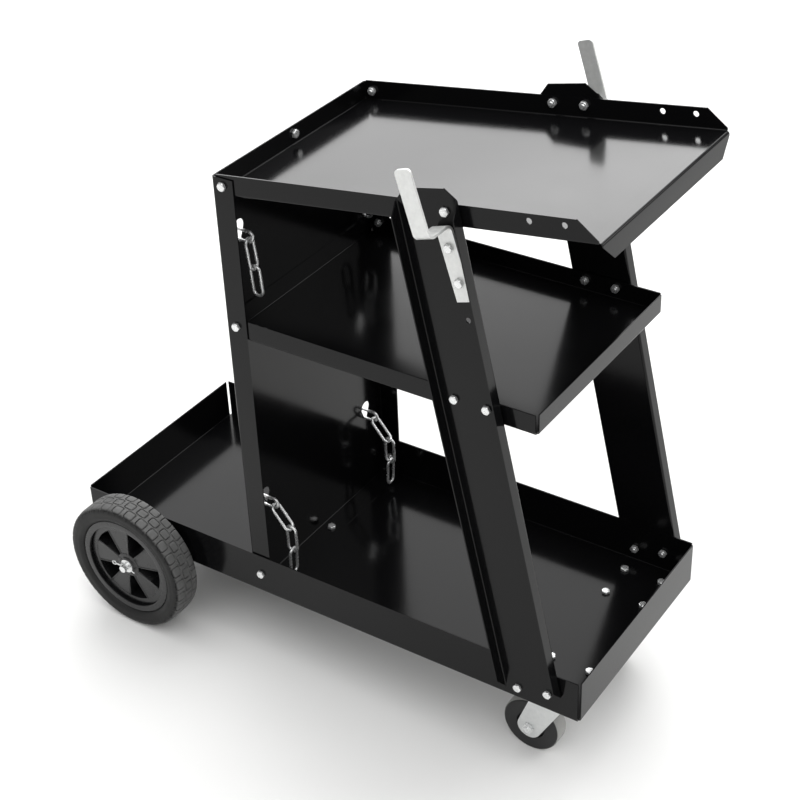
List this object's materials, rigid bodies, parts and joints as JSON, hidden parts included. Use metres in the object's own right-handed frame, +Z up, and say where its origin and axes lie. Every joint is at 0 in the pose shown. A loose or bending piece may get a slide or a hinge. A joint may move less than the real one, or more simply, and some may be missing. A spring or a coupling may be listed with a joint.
{
  "type": "welding cart",
  "caption": "Three tier folded steel welding cart with a tilted top tray, a rear gas bottle bay with chains, side cable hooks, fixed rear wheels and swivel front casters.",
  "frame": {"origin": "on the ground under the middle of the cart's box", "axes": "+X to the front with the swivel casters, +Y to the left side, +Z up"},
  "size_m": [0.7747, 0.425, 0.8234],
  "materials": {
    "black_powder_coat": "gloss",
    "zinc_plated_steel": "satin",
    "galvanised_steel": "satin",
    "black_nylon": "satin",
    "tyre_rubber": "matte",
    "grey_rubber": "matte"
  },
  "bodies": {
    "frame": {"bottom_tray": "black_powder_coat", "rear_panel": "black_powder_coat", "middle_tray": "black_powder_coat", "top_tray": "black_powder_coat", "right_leg": "black_powder_coat", "left_leg": "black_powder_coat", "right_cable_hook": "zinc_plated_steel", "left_cable_hook": "zinc_plated_steel", "rear_axle": "zinc_plated_steel", "right_axle_bracket": "black_powder_coat", "left_axle_bracket": "black_powder_coat", "inner_axle_washers": "zinc_plated_steel", "right_axle_washer": "zinc_plated_steel", "left_axle_washer": "zinc_plated_steel", "right_cotter_pin": "zinc_plated_steel", "left_cotter_pin": "zinc_plated_steel", "right_caster_plate": "galvanised_steel", "left_caster_plate": "galvanised_steel", "right_caster_kingpin": "galvanised_steel", "left_caster_kingpin": "galvanised_steel", "frame_bolts": "zinc_plated_steel", "frame_nuts": "zinc_plated_steel", "hook_bolts": "zinc_plated_steel", "hook_nuts": "zinc_plated_steel", "caster_bolts": "zinc_plated_steel", "caster_nuts": "zinc_plated_steel", "chain_anchor_links": "zinc_plated_steel"},
    "right_rear_wheel": {"right_rear_rim": "black_nylon", "right_rear_tyre": "tyre_rubber"},
    "right_caster": {"right_caster_fork": "galvanised_steel", "right_caster_axle": "zinc_plated_steel", "right_caster_balls": "galvanised_steel"},
    "right_caster_roller": {"right_caster_wheel": "grey_rubber"},
    "left_rear_wheel": {"left_rear_rim": "black_nylon", "left_rear_tyre": "tyre_rubber"},
    "left_caster": {"left_caster_fork": "galvanised_steel", "left_caster_axle": "zinc_plated_steel", "left_caster_balls": "galvanised_steel"},
    "left_caster_roller": {"left_caster_wheel": "grey_rubber"},
    "upper_loop": {"upper_chain_loop": "zinc_plated_steel"},
    "upper_right_tail": {"upper_right_chain_tail": "zinc_plated_steel"},
    "upper_left_tail": {"upper_left_chain_tail": "zinc_plated_steel"},
    "lower_loop": {"lower_chain_loop": "zinc_plated_steel"},
    "lower_right_tail": {"lower_right_chain_tail": "zinc_plated_steel"},
    "lower_left_tail": {"lower_left_chain_tail": "zinc_plated_steel"}
  },
  "joints": [
    {"name": "right_rear_wheel_spin", "type": "hinge", "parent": "frame", "child": "right_rear_wheel", "pos_m": [-0.28482, -0.1826, 0.096], "axis": [0, 1, 0], "continuous": true},
    {"name": "right_caster_swivel", "type": "hinge", "parent": "frame", "child": "right_caster", "pos_m": [0.33043, -0.1, 0.12729], "axis": [-0.0394, 0, 0.9992], "continuous": true},
    {"name": "right_caster_spin", "type": "hinge", "parent": "right_caster", "child": "right_caster_roller", "pos_m": [0.29937, -0.1, 0.0395], "axis": [0, 1, 0], "continuous": true},
    {"name": "left_rear_wheel_spin", "type": "hinge", "parent": "frame", "child": "left_rear_wheel", "pos_m": [-0.28482, 0.1826, 0.096], "axis": [0, 1, 0], "continuous": true},
    {"name": "left_caster_swivel", "type": "hinge", "parent": "frame", "child": "left_caster", "pos_m": [0.33043, 0.1, 0.12729], "axis": [-0.0394, 0, 0.9992], "continuous": true},
    {"name": "left_caster_spin", "type": "hinge", "parent": "left_caster", "child": "left_caster_roller", "pos_m": [0.29937, 0.1, 0.0395], "axis": [0, 1, 0], "continuous": true},
    {"name": "upper_loop_swing", "type": "hinge", "parent": "frame", "child": "upper_loop", "pos_m": [-0.13363, 0, 0.62037], "axis": [0, 1, 0], "range_deg": [0, 90]},
    {"name": "upper_right_tail_swing", "type": "hinge", "parent": "frame", "child": "upper_right_tail", "pos_m": [-0.10766, -0.116, 0.6214], "axis": [0, -1, 0], "range_deg": [0, 75]},
    {"name": "upper_left_tail_swing", "type": "hinge", "parent": "frame", "child": "upper_left_tail", "pos_m": [-0.10766, 0.116, 0.6214], "axis": [0, -1, 0], "range_deg": [0, 75]},
    {"name": "lower_loop_swing", "type": "hinge", "parent": "frame", "child": "lower_loop", "pos_m": [-0.11813, 0, 0.22768], "axis": [0, 1, 0], "range_deg": [0, 90]},
    {"name": "lower_right_tail_swing", "type": "hinge", "parent": "frame", "child": "lower_right_tail", "pos_m": [-0.09215, -0.116, 0.2287], "axis": [0, -1, 0], "range_deg": [0, 75]},
    {"name": "lower_left_tail_swing", "type": "hinge", "parent": "frame", "child": "lower_left_tail", "pos_m": [-0.09215, 0.116, 0.2287], "axis": [0, -1, 0], "range_deg": [0, 75]}
  ]
}
